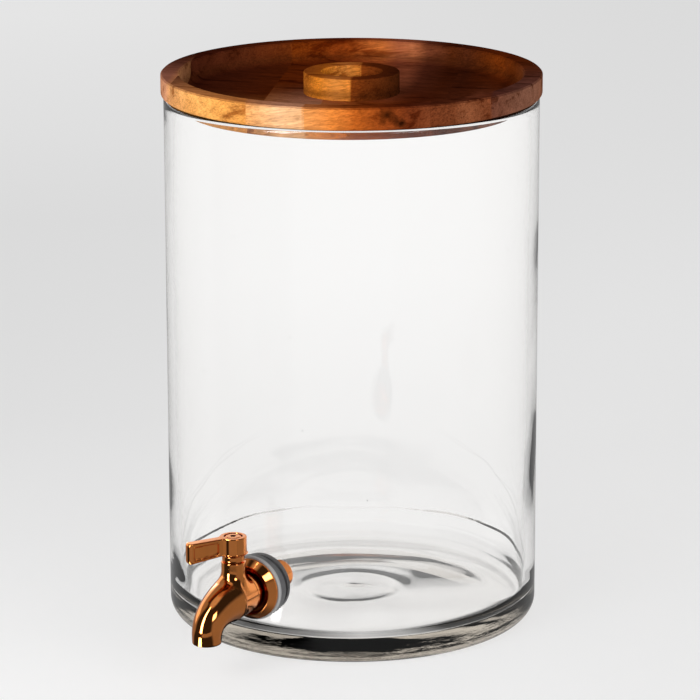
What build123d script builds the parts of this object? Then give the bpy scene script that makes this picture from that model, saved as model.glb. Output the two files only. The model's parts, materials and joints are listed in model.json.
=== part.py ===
from build123d import *
import os
from math import cos, radians, sin

# A countertop drink dispenser: a straight glass jar, a turned wooden lid that drops into its mouth,
# and a quarter-turn ball-valve spigot clamped through a hole low in the wall.
# Millimetres, +Z up. The origin is on the jar's axis, at the surface that the jar stands on.
# The spigot points along -Y, and "reach" is the distance from the jar's axis in that direction.

# Glass jar
jar_radius = 105.0
jar_height = 301.0
jar_wall = 5.0
heel_radius = 10.0
floor_height = 13.0
floor_crown = 1.8
floor_fillet = 11.0
foot_inner_radius = 78.0
kick_up = 4.0
cut_margin = 1.0

# Wooden lid, turned from one board of edge-glued staves
lid_radius = 106.5
lid_top = 313.8
lid_rim_gap = 0.3
lid_recess_radius = 96.0
lid_recess_floor = 302.0
lid_recess_fillet = 5.5
lid_rim_fillet = 2.3
lid_bevel = 0.8
lid_plug_radius = 96.5
lid_plug_bottom = 294.8
grain_angle = 113.2
stave_joints = (-94.0, -45.1, -13.1, 53.9, 83.7)

# Ring knob, glued up from two strips
knob_radius = 26.8
knob_hole_radius = 17.1
knob_top = 314.2
knob_joint = 2.7
knob_screw_radius = 1.75
knob_screw_length = 15.0
knob_screw_head_radius = 3.5
knob_screw_gap = 0.15
knob_screw_sink = 0.2
knob_screw_hold = 9.0
countersink_gap = 0.4
cross_slot_length = 3.6
cross_slot_width = 0.9
cross_slot_depth = 1.2
knob_edge_radius = 1.0

# Spigot: the axis of the tap, the hub that the lever turns on, and the outlet
tap_height = 42.8
hub_reach = 128.9
outlet_reach = 156.8
outlet_height = 24.7

# Clamped stack along the tap's axis, from the thread's end outwards
shank_end = 78.0
shank_radius = 7.9
thread_pitch = 1.5
thread_depth = 0.75
thread_crest = (0.4, 0.6)
thread_stop = 107.0
glass_hole_radius = 8.4
nut_thickness = 5.0
nut_across_flats = 22.0
nut_corner = 1.2
nut_chamfer = 0.5
inner_washer_radius = 17.0
inner_washer_back = 95.8
inner_washer_fillet = 0.8
outer_washer_radius = 18.0
outer_washer_front = 108.6
gasket_radius = 18.2
gasket_front = 110.4
gasket_fillet = 0.6
washer_gap = 0.2
flange_radius = 17.2
flange_floor = 112.5
flange_lip = 116.0
flange_edge = 1.6
flange_slope = 3.0
flange_lip_width = 0.7
flange_wall = 4.3
flange_fillets = [0.5, 0.4, 0.3, 0.3, 1.0]
glass_gap = 0.05

# Tap body
tail_radius = 11.5
tail_chamfer = (1.2, 1.0)
tail_joint = 121.5
tail_joint_radius = 11.6
body_front = 134.0
body_front_radius = 11.7
spout_root_radius = 12.1
spout_tip_radius = 8.0
spout_taper = 1.6
spout_sections = 9
spout_lead = (12.5, 1.0)
spout_drop = (0.3, 13.5)
spout_straight = 4.0
outlet_fillet = 0.8
passage_radius = 5.2
inlet_radius = 4.2
neck_radius = 6.75
neck_top = 63.8
neck_foot = 53.6
neck_flare = 2.6

# Ball valve
ball_radius = 6.5
ball_bore_radius = 3.4
chamber_radius = 7.6
seat_gap = 0.15
seat_radius = 7.5
seat_reach = 8.3
seat_face = 4.0
collar_radius = 9.2
collar_length = 3.2
body_groove_depth = 0.9
running_gap = 0.05
stem_radius = 4.0
stem_shoulder_radius = 5.2
stem_shoulder_gap = 0.2
stem_shoulder_bottom = 52.2
stem_shoulder_top = 53.8
thrust_washer_top = 54.6
stem_round_top = 64.2
stem_top = 73.0
stem_square = 6.2
slot_width = 3.0
tang_length = 7.0
tang_gap = 0.1
slot_floor = 47.2
o_ring_section = 1.4
groove_gap = 0.1
stem_o_ring_heights = (57.3, 60.9)

# Lever handle. Its angle is measured from the spout's line, anticlockwise from above.
lever_angle = -30.0
lever_to_open = 30.0
lever_to_shut = 60.0
hub_radius = 7.4
hub_bottom = 68.2
hub_top = 78.3
collar_outer_radius = 6.25
collar_top = 67.5
collar_bottom = 64.4
lever_length = 29.0
lever_thickness = 5.8
lever_root_height = 10.0
lever_tip_height = 12.0
lever_tip_radii = (2.4, 4.2)
lever_tip_flat = 0.2
lever_edge_start = 4.0
lever_edge_radius = 0.7
hub_fillets = [0.3, 0, 0.3, 0.5]
panel_depth = 0.8
panel_border = 1.5
panel_start = 9.6
panel_radii = (1.6, 3.0)
square_fit = 0.1
handle_screw_head_radius = 4.7
handle_screw_radius = 2.45
handle_screw_seat = 75.4
handle_screw_tip = 66.5
handle_screw_gap = 0.4
handle_screw_sink = 0.2
handle_screw_crown = 1.2
stem_head_room = 0.2
hex_socket = 3.1
hex_socket_depth = 1.8

# Quarter-turn stop: a tab on the neck, towards the jar, in a gap in the lever's collar
stop_tab_arc = 30.0
stop_tab_height = 3.1
stop_inner_radius = 5.1
stop_clearance = 3.0
stop_tab_gap = 0.2
stop_tab_head_room = 0.3

# Planes and axes used throughout
tap_axis = Axis((0, 0, tap_height), (0, -1, 0))
tap_section = Plane(origin=(0, 0, tap_height), x_dir=(0, -1, 0), z_dir=(-1, 0, 0))
hub_axis = Axis((0, -hub_reach, 0), (0, 0, 1))
hub_section = Plane(origin=(0, -hub_reach, 0), x_dir=(1, 0, 0), z_dir=(0, -1, 0))
ball_centre = (0, -hub_reach, tap_height)

os.makedirs("parts", exist_ok=True)


def save(part, name):
    part.label = name
    export_step(part, f"parts/{name}.step")


def across_tap(reach):
    """The plane square to the tap's axis at a reach, facing outwards, with its own Y up."""
    return Plane(origin=(0, -reach, tap_height), x_dir=(1, 0, 0), z_dir=(0, -1, 0))


def above_hub(height, turn=0.0):
    """The level plane at a height on the lever's axis, its own X turned from the spout's line."""
    angle = radians(turn - 90)
    return Plane(origin=(0, -hub_reach, height), x_dir=(cos(angle), sin(angle), 0))


def grain_plane(offset):
    """An upright plane along the wood's fibres, at an offset across them."""
    across = radians(grain_angle - 90)
    normal = (cos(across), sin(across), 0)
    return Plane(origin=(offset * normal[0], offset * normal[1], 0), z_dir=normal)


def ring_sector(inner, outer, start, arc):
    """A sector of a ring as a flat face, its angles in degrees from its own X."""
    with BuildSketch() as sector:
        with BuildLine():
            inside = CenterArc((0, 0), inner, start, arc)
            outside = CenterArc((0, 0), outer, start, arc)
            Line(inside @ 0, outside @ 0)
            Line(inside @ 1, outside @ 1)
        make_face()
    return sector.sketch


def cap_radius(reach, rise):
    """The radius of a shallow dome centred on the axis, from how far it reaches and rises."""
    return (reach**2 + rise**2) / (2 * rise)


# --- Jar ---

jar_inner_radius = jar_radius - jar_wall
rim_radius = jar_wall / 2

with BuildPart() as glass_jar:
    with BuildSketch(Plane.XZ):
        with BuildLine():
            RadiusArc((0, kick_up), (foot_inner_radius, 0), cap_radius(foot_inner_radius, kick_up))
            Line((foot_inner_radius, 0), (jar_radius - heel_radius, 0))
            CenterArc((jar_radius - heel_radius, heel_radius), heel_radius, -90, 90)
            Line((jar_radius, heel_radius), (jar_radius, jar_height - rim_radius))
            CenterArc((jar_radius - rim_radius, jar_height - rim_radius), rim_radius, 0, 180)
            Line(
                (jar_inner_radius, jar_height - rim_radius),
                (jar_inner_radius, floor_height + floor_fillet),
            )
            CenterArc(
                (jar_inner_radius - floor_fillet, floor_height + floor_fillet), floor_fillet, 0, -90
            )
            RadiusArc(
                (jar_inner_radius - floor_fillet, floor_height),
                (0, floor_height + floor_crown),
                -cap_radius(jar_inner_radius - floor_fillet, floor_crown),
            )
            Line((0, floor_height + floor_crown), (0, kick_up))
        make_face()
    revolve(axis=Axis.Z)
    with Locations(across_tap(jar_radius + cut_margin)):
        Hole(glass_hole_radius, depth=jar_wall + 3 * cut_margin)
save(glass_jar.part, "glass_jar")

# --- Lid ---

lid_rim_bottom = jar_height + lid_rim_gap
knob_middle_radius = (knob_radius + knob_hole_radius) / 2
knob_screw_planes = [
    Plane(
        origin=(
            side * knob_middle_radius * cos(radians(grain_angle - 90)),
            side * knob_middle_radius * sin(radians(grain_angle - 90)),
            lid_plug_bottom,
        ),
        z_dir=(0, 0, -1),
    )
    for side in (-1, 1)
]

with BuildPart() as lid_blank:
    with BuildSketch(Plane.XZ):
        with BuildLine():
            turned = FilletPolyline(
                (0, lid_plug_bottom),
                (lid_plug_radius - lid_bevel, lid_plug_bottom),
                (lid_plug_radius, lid_plug_bottom + lid_bevel),
                (lid_plug_radius, lid_rim_bottom),
                (lid_radius, lid_rim_bottom),
                (lid_radius, lid_top - lid_bevel),
                (lid_radius - lid_bevel, lid_top),
                (lid_recess_radius + lid_bevel, lid_top),
                (lid_recess_radius, lid_top - lid_bevel),
                (lid_recess_radius, lid_recess_floor),
                (0, lid_recess_floor),
                radius=[0, 0, 0, lid_rim_fillet, 0, 0, 0, 0, lid_recess_fillet],
            )
            Line(turned @ 1, turned @ 0)
        make_face()
    revolve(axis=Axis.Z)
    with Locations(*knob_screw_planes):
        CounterSinkHole(
            knob_screw_radius + knob_screw_gap,
            knob_screw_head_radius + countersink_gap,
            counter_sink_angle=90,
        )

stave_edges = (-2 * lid_radius, *stave_joints, 2 * lid_radius)
for number, (low, high) in enumerate(zip(stave_edges, stave_edges[1:]), start=1):
    with BuildPart() as lid_stave:
        add(lid_blank.part)
        split(bisect_by=grain_plane(low), keep=Keep.TOP)
        split(bisect_by=grain_plane(high), keep=Keep.BOTTOM)
    save(lid_stave.part, f"lid_stave_{number}")

with BuildPart() as knob_ring:
    with BuildSketch(Plane.XY.offset(lid_recess_floor)):
        Circle(knob_radius)
        Circle(knob_hole_radius, mode=Mode.SUBTRACT)
    extrude(amount=knob_top - lid_recess_floor)
    fillet(knob_ring.edges().group_by(Axis.Z)[-1], radius=knob_edge_radius)
    with Locations(*[plane.offset(lid_plug_bottom - lid_recess_floor) for plane in knob_screw_planes]):
        Hole(knob_screw_radius + running_gap, depth=knob_screw_hold)

for side, kept in (("left", Keep.BOTTOM), ("right", Keep.TOP)):
    with BuildPart() as knob_strip:
        add(knob_ring.part)
        split(bisect_by=grain_plane(knob_joint), keep=kept)
    save(knob_strip.part, f"knob_strip_{side}")

with BuildPart() as knob_screws:
    for plane in knob_screw_planes:
        flush = Plane(origin=plane.origin + Vector(0, 0, knob_screw_sink))
        with BuildSketch(flush):
            Circle(knob_screw_head_radius)
        extrude(amount=knob_screw_head_radius - knob_screw_radius, taper=45)
        with BuildSketch(flush):
            Circle(knob_screw_radius)
        extrude(amount=knob_screw_length)
        with BuildSketch(flush):
            Rectangle(cross_slot_length, cross_slot_width)
            Rectangle(cross_slot_width, cross_slot_length)
        extrude(amount=cross_slot_depth, mode=Mode.SUBTRACT)
save(knob_screws.part, "knob_screws")

# --- Clamped stack ---

with BuildPart() as tail_piece:
    with BuildSketch(tap_section):
        with BuildLine():
            crests = int((thread_stop - shank_end) / thread_pitch)
            outline = [(shank_end, inlet_radius), (shank_end, shank_radius - thread_depth)]
            for turn in range(crests):
                start = shank_end + turn * thread_pitch
                for share in thread_crest:
                    outline.append((start + share * thread_pitch, shank_radius))
                outline.append((start + thread_pitch, shank_radius - thread_depth))
            outline += [
                (thread_stop, shank_radius - thread_depth),
                (flange_floor, shank_radius - thread_depth),
                (flange_floor, tail_radius - tail_chamfer[1]),
                (flange_floor + tail_chamfer[0], tail_radius),
                (tail_joint, tail_joint_radius),
                (tail_joint, collar_radius),
                (tail_joint + collar_length, collar_radius),
                (tail_joint + collar_length, chamber_radius),
                (hub_reach - seat_reach, chamber_radius),
                (hub_reach - seat_reach, inlet_radius),
            ]
            Polyline(*outline, close=True)
        make_face()
    revolve(axis=tap_axis)
    with BuildSketch(tap_section):
        with Locations((tail_joint + collar_length / 2, collar_radius)):
            Rectangle(o_ring_section, 2 * body_groove_depth)
    revolve(axis=tap_axis, mode=Mode.SUBTRACT)
save(tail_piece.part, "tail_piece")

with BuildPart() as body_o_ring:
    with BuildSketch(tap_section):
        with Locations((tail_joint + collar_length / 2, collar_radius - body_groove_depth / 2)):
            Ellipse(o_ring_section / 2 - running_gap, body_groove_depth / 2)
    revolve(axis=tap_axis)
save(body_o_ring.part, "body_o_ring")

with BuildPart() as lock_nut:
    with BuildSketch(across_tap(inner_washer_back)):
        RegularPolygon(nut_across_flats / 2, 6, major_radius=False)
        Circle(shank_radius + running_gap, mode=Mode.SUBTRACT)
    extrude(amount=-nut_thickness)
    with BuildSketch(across_tap(inner_washer_back)):
        Circle(nut_across_flats / 2 + nut_corner)
    extrude(amount=-nut_thickness, mode=Mode.INTERSECT)
    chamfer(lock_nut.edges().filter_by(GeomType.CIRCLE).group_by(Axis.Y)[-1], length=nut_chamfer)
save(lock_nut.part, "lock_nut")

with BuildPart() as inner_washer:
    with BuildSketch(across_tap(inner_washer_back)):
        Circle(inner_washer_radius)
        Circle(shank_radius + washer_gap, mode=Mode.SUBTRACT)
    extrude(amount=jar_inner_radius + cut_margin - inner_washer_back)
    fillet(inner_washer.faces().sort_by(Axis.Y)[-1].outer_wire().edges(), radius=inner_washer_fillet)
    with BuildSketch(Plane.XY):
        Circle(jar_inner_radius - glass_gap)
    extrude(amount=2 * tap_height, mode=Mode.INTERSECT)
save(inner_washer.part, "inner_washer")

with BuildPart() as outer_washer:
    with BuildSketch(across_tap(outer_washer_front)):
        Circle(outer_washer_radius)
        Circle(shank_radius + washer_gap, mode=Mode.SUBTRACT)
    extrude(amount=jar_radius - jar_wall / 2 - outer_washer_front)
    with BuildSketch(Plane.XY):
        Circle(jar_radius + glass_gap)
    extrude(amount=2 * tap_height, mode=Mode.SUBTRACT)
save(outer_washer.part, "outer_washer")

with BuildPart() as flange_gasket:
    with BuildSketch(across_tap(outer_washer_front)):
        Circle(gasket_radius)
        Circle(shank_radius + washer_gap, mode=Mode.SUBTRACT)
    extrude(amount=gasket_front - outer_washer_front)
    fillet(flange_gasket.faces().sort_by(Axis.Y)[0].outer_wire().edges(), radius=gasket_fillet)
save(flange_gasket.part, "flange_gasket")

with BuildPart() as flange_cup:
    with BuildSketch(tap_section):
        with BuildLine():
            cup = FilletPolyline(
                (gasket_front, shank_radius + washer_gap),
                (gasket_front, flange_radius),
                (gasket_front + flange_edge, flange_radius),
                (flange_lip, flange_radius - flange_slope),
                (flange_lip, flange_radius - flange_slope - flange_lip_width),
                (flange_floor, flange_radius - flange_wall),
                (flange_floor, shank_radius + washer_gap),
                radius=flange_fillets,
            )
            Line(cup @ 1, cup @ 0)
        make_face()
    revolve(axis=tap_axis)
save(flange_cup.part, "flange_cup")

# --- Tap body ---

with BuildLine() as spout_path:
    elbow = Bezier(
        (0, -body_front, tap_height),
        (0, -(body_front + spout_lead[0]), tap_height - spout_lead[1]),
        (0, -(outlet_reach - spout_drop[0]), outlet_height + spout_drop[1]),
        (0, -outlet_reach, outlet_height + spout_straight),
    )
    Line(elbow @ 1, (0, -outlet_reach, outlet_height))


def spout_radius(share):
    """The spout's outer radius at a share of its path from the tap's axis to the outlet."""
    return spout_tip_radius + (spout_root_radius - spout_tip_radius) * (1 - share) ** spout_taper


with BuildPart() as spigot_body:
    for index in range(spout_sections):
        share = index / (spout_sections - 1)
        place = Plane(
            origin=spout_path.line @ share, x_dir=(1, 0, 0), z_dir=spout_path.line % share
        )
        with BuildSketch(place):
            Circle(spout_radius(share))
    loft()
    fillet(spigot_body.faces().sort_by(Axis.Z)[0].edges(), radius=outlet_fillet)
    with BuildSketch(tap_section):
        with BuildLine():
            Polyline(
                (tail_joint, 0),
                (tail_joint, tail_joint_radius),
                (body_front, body_front_radius),
                (body_front, 0),
                close=True,
            )
        make_face()
    revolve(axis=tap_axis)
    with BuildSketch(hub_section):
        with BuildLine():
            Polyline(
                (neck_radius, neck_foot + neck_flare),
                (neck_radius, neck_top),
                (0, neck_top),
                (0, tap_height),
                (neck_radius + neck_flare, tap_height),
                (neck_radius + neck_flare, neck_foot),
            )
            CenterArc((neck_radius + neck_flare, neck_foot + neck_flare), neck_flare, 180, 90)
        make_face()
    revolve(axis=hub_axis)
    split(bisect_by=across_tap(tail_joint), keep=Keep.TOP)
    with BuildSketch(above_hub(neck_top, 180)):
        add(ring_sector(stop_inner_radius, collar_outer_radius, -stop_tab_arc / 2, stop_tab_arc))
    extrude(amount=stop_tab_height)
    with BuildSketch(across_tap(tail_joint)):
        Circle(collar_radius + running_gap)
    extrude(amount=collar_length + 2 * running_gap, mode=Mode.SUBTRACT)
    with BuildSketch(across_tap(tail_joint)):
        Circle(chamber_radius)
    extrude(amount=hub_reach + seat_reach - tail_joint, mode=Mode.SUBTRACT)
    with BuildSketch(Plane(origin=spout_path.line @ 0, z_dir=spout_path.line % 0)):
        Circle(passage_radius)
    sweep(path=spout_path.line, mode=Mode.SUBTRACT)
    with BuildSketch(above_hub(tap_height)):
        Circle(stem_shoulder_radius + stem_shoulder_gap)
    extrude(amount=thrust_washer_top + running_gap - tap_height, mode=Mode.SUBTRACT)
    with BuildSketch(above_hub(tap_height)):
        Circle(stem_radius + running_gap)
    extrude(amount=neck_top - tap_height, mode=Mode.SUBTRACT)
save(spigot_body.part, "spigot_body")

# --- Valve inside the tap body ---

for seat_name, side in (("inlet_seat", -1), ("outlet_seat", 1)):
    with BuildPart() as valve_seat:
        with BuildSketch(across_tap(hub_reach + side * seat_reach)):
            Circle(seat_radius)
            Circle(ball_bore_radius, mode=Mode.SUBTRACT)
        extrude(amount=-side * (seat_reach - seat_face))
        with Locations(ball_centre):
            Sphere(ball_radius + seat_gap, mode=Mode.SUBTRACT)
    save(valve_seat.part, seat_name)

lever_line = above_hub(0, lever_angle).x_dir
ball_bore_start = Vector(ball_centre) - lever_line * 2 * ball_radius

with BuildPart() as valve_ball:
    with Locations(ball_centre):
        Sphere(ball_radius)
    with BuildSketch(Plane(origin=ball_bore_start, z_dir=lever_line)):
        Circle(ball_bore_radius)
    extrude(amount=4 * ball_radius, mode=Mode.SUBTRACT)
    with BuildSketch(above_hub(slot_floor, lever_angle)):
        Rectangle(slot_width, 3 * ball_radius)
    extrude(amount=ball_radius, mode=Mode.SUBTRACT)
save(valve_ball.part, "valve_ball")

with BuildPart() as valve_stem:
    with BuildSketch(above_hub(slot_floor + tang_gap, lever_angle)):
        Rectangle(slot_width - tang_gap, tang_length)
    extrude(amount=stem_shoulder_bottom - slot_floor)
    with BuildSketch(above_hub(stem_shoulder_bottom)):
        Circle(stem_shoulder_radius)
    extrude(amount=stem_shoulder_top - stem_shoulder_bottom)
    with BuildSketch(above_hub(stem_shoulder_top)):
        Circle(stem_radius)
    extrude(amount=stem_round_top - stem_shoulder_top)
    with BuildSketch(above_hub(stem_round_top, lever_angle)):
        Rectangle(stem_square, stem_square)
        Circle(stem_radius, mode=Mode.INTERSECT)
    extrude(amount=stem_top - stem_round_top)
    with Locations(above_hub(stem_top)):
        Hole(handle_screw_radius + running_gap, depth=stem_top - handle_screw_tip + cut_margin)
    for height in stem_o_ring_heights:
        with BuildSketch(hub_section):
            with Locations((stem_radius, height)):
                Rectangle(2 * o_ring_section, o_ring_section + groove_gap)
        revolve(axis=hub_axis, mode=Mode.SUBTRACT)
save(valve_stem.part, "valve_stem")

for ring_name, height in zip(("stem_o_ring_lower", "stem_o_ring_upper"), stem_o_ring_heights):
    with BuildPart() as stem_o_ring:
        with BuildSketch(hub_section):
            with Locations((stem_radius - o_ring_section / 2, height)):
                Circle(o_ring_section / 2)
        revolve(axis=hub_axis)
    save(stem_o_ring.part, ring_name)

with BuildPart() as thrust_washer:
    with BuildSketch(above_hub(stem_shoulder_top)):
        Circle(stem_shoulder_radius)
        Circle(stem_radius + running_gap, mode=Mode.SUBTRACT)
    extrude(amount=thrust_washer_top - stem_shoulder_top)
save(thrust_washer.part, "thrust_washer")

# --- Lever handle ---

lever_side = Plane(
    origin=(0, -hub_reach, hub_top), x_dir=lever_line, z_dir=lever_line.cross(Vector(0, 0, 1))
)

with BuildPart() as lever_handle:
    with BuildSketch(lever_side):
        with BuildLine():
            blade = FilletPolyline(
                (0, 0),
                (lever_length, 0),
                (lever_length, -lever_tip_height),
                (hub_radius, -lever_root_height),
                (0, -lever_root_height),
                radius=[*lever_tip_radii, 0],
            )
            Line(blade @ 1, blade @ 0)
        make_face()
    extrude(amount=lever_thickness / 2, both=True)
    with BuildSketch(above_hub(hub_top, lever_angle)):
        RectangleRounded(2 * lever_length, lever_thickness, lever_thickness / 2 - lever_tip_flat)
    extrude(amount=-2 * lever_tip_height, mode=Mode.INTERSECT)
    side_faces = lever_handle.faces().filter_by(lever_side).sort_by(SortBy.AREA)[-2:]
    clear_of_hub = -hub_reach - lever_edge_start
    blade_edges = side_faces.edges().filter_by(lambda edge: edge.center().Y < clear_of_hub)
    fillet(blade_edges, radius=lever_edge_radius)
    for side in (-1, 1):
        with BuildSketch(lever_side.offset(side * lever_thickness / 2)):
            with BuildLine():
                FilletPolyline(
                    (panel_start, -panel_border),
                    (lever_length - lever_thickness / 2, -panel_border),
                    (lever_length - lever_thickness / 2, -lever_tip_height + panel_border),
                    (panel_start, -lever_root_height + panel_border),
                    radius=[panel_radii[0], panel_radii[0], panel_radii[1], panel_radii[1]],
                    close=True,
                )
            make_face()
        extrude(amount=-side * panel_depth, mode=Mode.SUBTRACT)
    with BuildSketch(hub_section):
        with BuildLine():
            hub = FilletPolyline(
                (0, collar_bottom),
                (collar_outer_radius, collar_bottom),
                (collar_outer_radius, collar_top),
                (hub_radius, hub_bottom),
                (hub_radius, hub_top),
                (0, hub_top),
                radius=hub_fillets,
            )
            Line(hub @ 1, hub @ 0)
        make_face()
    revolve(axis=hub_axis)
    with BuildSketch(above_hub(collar_bottom, lever_angle)):
        Rectangle(stem_square + square_fit, stem_square + square_fit)
        Circle(stem_radius + square_fit / 2, mode=Mode.INTERSECT)
    extrude(amount=stem_top + stem_head_room - collar_bottom, mode=Mode.SUBTRACT)
    with BuildSketch(above_hub(stem_top)):
        Circle(handle_screw_radius + running_gap)
    extrude(amount=handle_screw_seat - stem_top, mode=Mode.SUBTRACT)
    with BuildSketch(above_hub(handle_screw_seat)):
        Circle(handle_screw_head_radius + handle_screw_gap)
    extrude(amount=hub_top - handle_screw_seat, mode=Mode.SUBTRACT)
    with BuildSketch(above_hub(collar_bottom, 180)):
        add(
            ring_sector(
                stop_inner_radius - stop_tab_gap,
                hub_radius,
                -(stop_tab_arc / 2 + lever_to_open + stop_clearance),
                stop_tab_arc + lever_to_open + lever_to_shut + 2 * stop_clearance,
            )
        )
    extrude(
        amount=neck_top + stop_tab_height + stop_tab_head_room - collar_bottom, mode=Mode.SUBTRACT
    )
save(lever_handle.part, "lever_handle")

handle_screw_top = hub_top - handle_screw_sink

with BuildPart() as handle_screw:
    with BuildSketch(above_hub(handle_screw_seat)):
        Circle(handle_screw_head_radius)
    extrude(amount=handle_screw_top - handle_screw_seat)
    fillet(handle_screw.edges().group_by(Axis.Z)[-1], radius=handle_screw_crown)
    with BuildSketch(above_hub(handle_screw_top)):
        RegularPolygon(hex_socket / 2, 6, major_radius=False)
    extrude(amount=-hex_socket_depth, mode=Mode.SUBTRACT)
    with BuildSketch(above_hub(handle_screw_tip)):
        Circle(handle_screw_radius)
    extrude(amount=handle_screw_seat - handle_screw_tip)
save(handle_screw.part, "handle_screw")
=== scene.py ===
"""The drink dispenser's looks: blown glass, glued acacia, polished copper and silicone."""

import json
import random
from math import cos, exp, hypot, pi, radians, sin, tau

import bmesh
import bpy
import numpy as np
from mathutils import Matrix, Vector, noise


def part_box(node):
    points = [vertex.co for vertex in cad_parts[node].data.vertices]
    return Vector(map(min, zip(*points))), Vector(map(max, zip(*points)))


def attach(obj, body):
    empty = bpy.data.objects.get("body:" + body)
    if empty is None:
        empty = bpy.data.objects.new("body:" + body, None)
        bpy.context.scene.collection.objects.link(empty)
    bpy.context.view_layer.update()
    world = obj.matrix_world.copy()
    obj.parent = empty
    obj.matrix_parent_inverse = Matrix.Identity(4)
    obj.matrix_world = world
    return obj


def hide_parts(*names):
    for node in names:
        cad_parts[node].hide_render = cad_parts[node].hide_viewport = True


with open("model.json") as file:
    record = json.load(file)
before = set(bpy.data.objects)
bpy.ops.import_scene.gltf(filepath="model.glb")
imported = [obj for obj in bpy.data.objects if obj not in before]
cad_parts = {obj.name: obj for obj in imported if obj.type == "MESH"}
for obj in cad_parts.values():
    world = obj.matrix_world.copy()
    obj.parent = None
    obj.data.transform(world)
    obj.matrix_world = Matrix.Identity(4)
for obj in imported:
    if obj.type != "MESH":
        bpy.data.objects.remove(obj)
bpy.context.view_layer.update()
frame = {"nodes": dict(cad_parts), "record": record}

nodes = frame["nodes"]
MM = 0.001

# The view: azimuth round the jar, and the camera's place in a frame turned with it, in metres
VIEW_AZIMUTH = radians(30.3)
CAMERA_DISTANCE = 2.0559
CAMERA_HEIGHT = 0.7003
CAMERA_SIDE = -0.0012
CAMERA_PITCH = radians(14.905)
CAMERA_ROLL = radians(-0.13)
CAMERA_LENS = 192.55
CAMERA_CLIP = 50

# The tap's axis above the table, and its lever's hub from the jar's axis, in millimetres
TAP_AXIS = 42.8
HUB_REACH = 128.9


def seen(side, depth, height):
    """A point from the view's right, its distance behind the jar's axis, and its height."""
    a = VIEW_AZIMUTH
    return Vector((side * cos(a) - depth * sin(a), side * sin(a) + depth * cos(a), height))


# --- Node helpers ---


class Nodes:
    """A material's or world's node tree, with short calls for the nodes used here."""

    def __init__(self, tree):
        self.tree = tree
        tree.nodes.clear()

    def add(self, kind, inputs=None, **settings):
        node = self.tree.nodes.new(kind)
        for name, value in settings.items():
            setattr(node, name, value)
        self.fill(node, inputs or {})
        return node

    def fill(self, node, inputs):
        """Links each input to a socket, or sets its plain value."""
        for name, value in inputs.items():
            if isinstance(value, bpy.types.NodeSocket):
                self.tree.links.new(value, node.inputs[name])
            else:
                node.inputs[name].default_value = value

    def math(self, operation, a, b=0.0, clamp=False):
        node = self.add("ShaderNodeMath", {0: a, 1: b}, operation=operation, use_clamp=clamp)
        return node.outputs[0]

    def centred(self, value, scale):
        """The value as a ramp's position, with zero at the ramp's middle."""
        return self.math("ADD", self.math("MULTIPLY", value, scale), 0.5)

    def mapped(self, coordinates, scale=(1, 1, 1), turn=(0, 0, 0), shift=(0, 0, 0)):
        inputs = {"Vector": coordinates, "Scale": scale, "Rotation": turn, "Location": shift}
        return self.add("ShaderNodeMapping", inputs).outputs[0]

    def split(self, vector):
        """The outputs "X", "Y" and "Z" of a vector."""
        return self.add("ShaderNodeSeparateXYZ", {0: vector}).outputs

    def length(self, vector):
        return self.add("ShaderNodeVectorMath", {0: vector}, operation="LENGTH").outputs["Value"]

    def noise(self, coordinates, scale, detail=2.0, roughness=0.5, distortion=0.0):
        inputs = {"Vector": coordinates, "Scale": scale, "Detail": detail}
        inputs |= {"Roughness": roughness, "Distortion": distortion}
        return self.add("ShaderNodeTexNoise", inputs).outputs["Fac"]

    def ramp(self, factor, stops, ease="LINEAR"):
        """A colour ramp through (position, colour) stops. A plain number is a grey."""
        node = self.add("ShaderNodeValToRGB", {"Fac": factor})
        node.color_ramp.interpolation = ease
        elements = node.color_ramp.elements
        while len(elements) < len(stops):
            elements.new(1.0)
        for element, (position, colour) in zip(elements, stops):
            element.position = position
            grey = isinstance(colour, (int, float))
            element.color = (colour, colour, colour, 1) if grey else (*colour, 1)
        return node.outputs["Color"]

    def mix(self, factor, a, b, blend="MIX"):
        inputs = {0: factor}
        for socket, value in ((6, a), (7, b)):
            inputs[socket] = (*value, 1) if isinstance(value, tuple) else value
        return self.add("ShaderNodeMix", inputs, data_type="RGBA", blend_type=blend).outputs[2]

    def multiplied(self, colour, tint):
        return self.mix(1.0, colour, tint, "MULTIPLY")

    def bump(self, height, strength, distance):
        inputs = {"Height": height, "Strength": strength, "Distance": distance}
        return self.add("ShaderNodeBump", inputs).outputs[0]

    def glow(self, value, socket="Color"):
        """A surface that gives off light, from its colour or its strength."""
        return self.add("ShaderNodeEmission", {socket: value}).outputs[0]

    def mix_shader(self, factor, first, second):
        return self.add("ShaderNodeMixShader", {0: factor, 1: first, 2: second}).outputs[0]


def light_path(tree, *names):
    """1 for rays of any of these kinds."""
    path = tree.add("ShaderNodeLightPath")
    total = path.outputs[names[0]]
    for name in names[1:]:
        total = tree.math("MAXIMUM", total, path.outputs[name])
    return total


def new_material(name):
    """A material with its node tree, its main shader, its output node and its object coordinates."""
    material = bpy.data.materials.new(name)
    material.use_nodes = True
    tree = Nodes(material.node_tree)
    shader = tree.add("ShaderNodeBsdfPrincipled")
    output = tree.add("ShaderNodeOutputMaterial", {"Surface": shader.outputs[0]})
    place = tree.add("ShaderNodeTexCoord").outputs["Object"]
    return material, tree, shader, output, place


def darker(colour, share):
    return tuple(channel * share for channel in colour)


# --- Materials ---

GLASS_IOR = 1.5
GLASS_TINT = (0.70, 0.66, 0.60)
GLASS_DENSITY = 14.0
GLASS_SHADE = (0.95, 0.95, 0.95)
# How strongly the heel's streaks show, by height in tenths of a metre, and the radius they start at
STREAK_HEIGHTS = ((0.005, 0.15), (0.03, 1.0), (0.10, 1.0), (0.15, 0.0))
STREAK_RADIUS = 0.097

COPPER = (0.88, 0.30, 0.080)
COPPER_ROUGHNESS = 0.055
PLASTIC_ROUGHNESS = 0.4


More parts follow.
